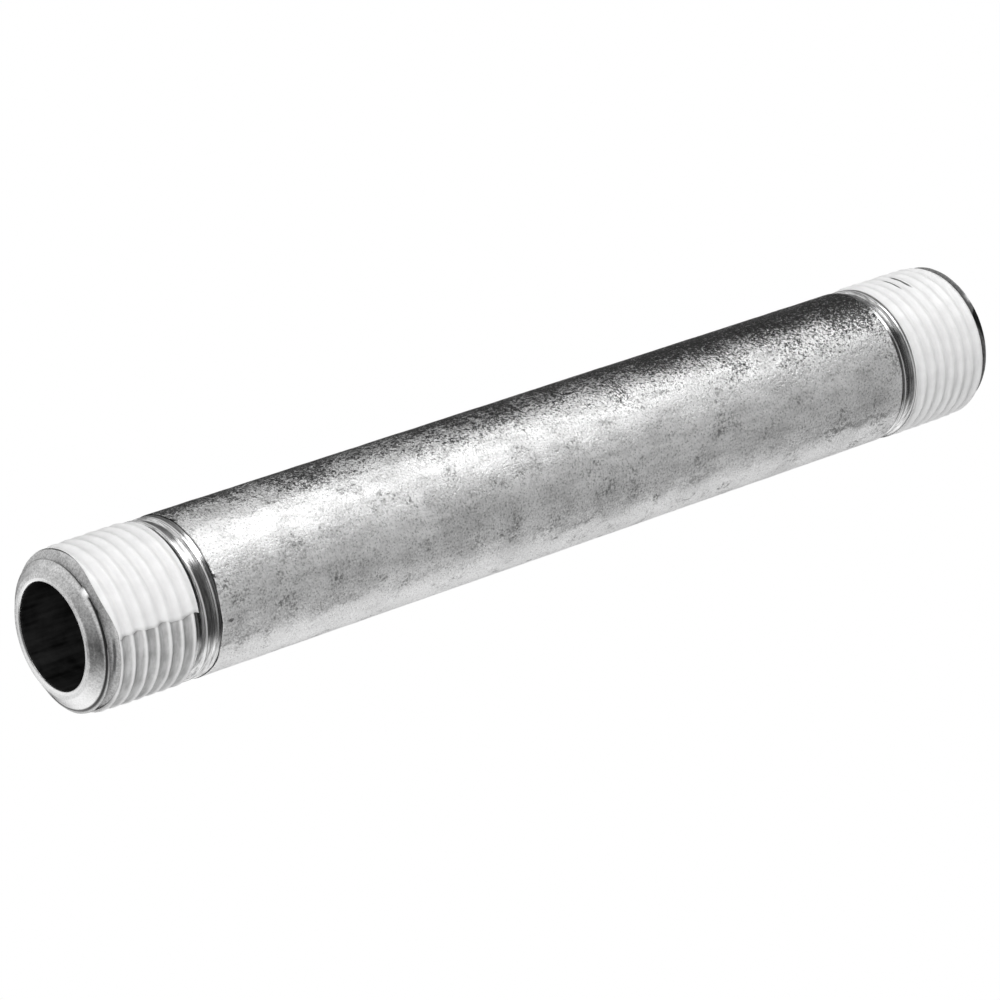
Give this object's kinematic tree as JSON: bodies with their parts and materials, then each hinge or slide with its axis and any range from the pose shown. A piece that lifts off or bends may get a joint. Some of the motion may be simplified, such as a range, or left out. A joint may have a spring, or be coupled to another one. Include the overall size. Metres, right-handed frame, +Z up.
{
  "type": "threaded pipe nipple",
  "caption": "Straight galvanised steel pipe nipple, tapered pipe thread at each end wrapped in white seal tape, open bore right through.",
  "frame": {"origin": "centre of the pipe, halfway along its centre line", "axes": "+X along the bore towards the far end, +Z up, +Y completes the right-handed frame"},
  "size_m": [0.1524, 0.0214, 0.0214],
  "materials": {
    "cut_steel": "bare machined steel with fine turning marks",
    "zinc_outside": "galvanised zinc, semi-bright, mottled and finely pitted",
    "zinc_bore": "dull dark zinc inside the bore",
    "seal_tape": "white PTFE film, waxy satin, slightly see-through where thin"
  },
  "bodies": {
    "root": {"steel_pipe": "cut_steel", "zinc_coat_outside": "zinc_outside", "zinc_coat_bore": "zinc_bore", "near_end_tape": "seal_tape", "far_end_tape": "seal_tape"}
  },
  "joints": []
}
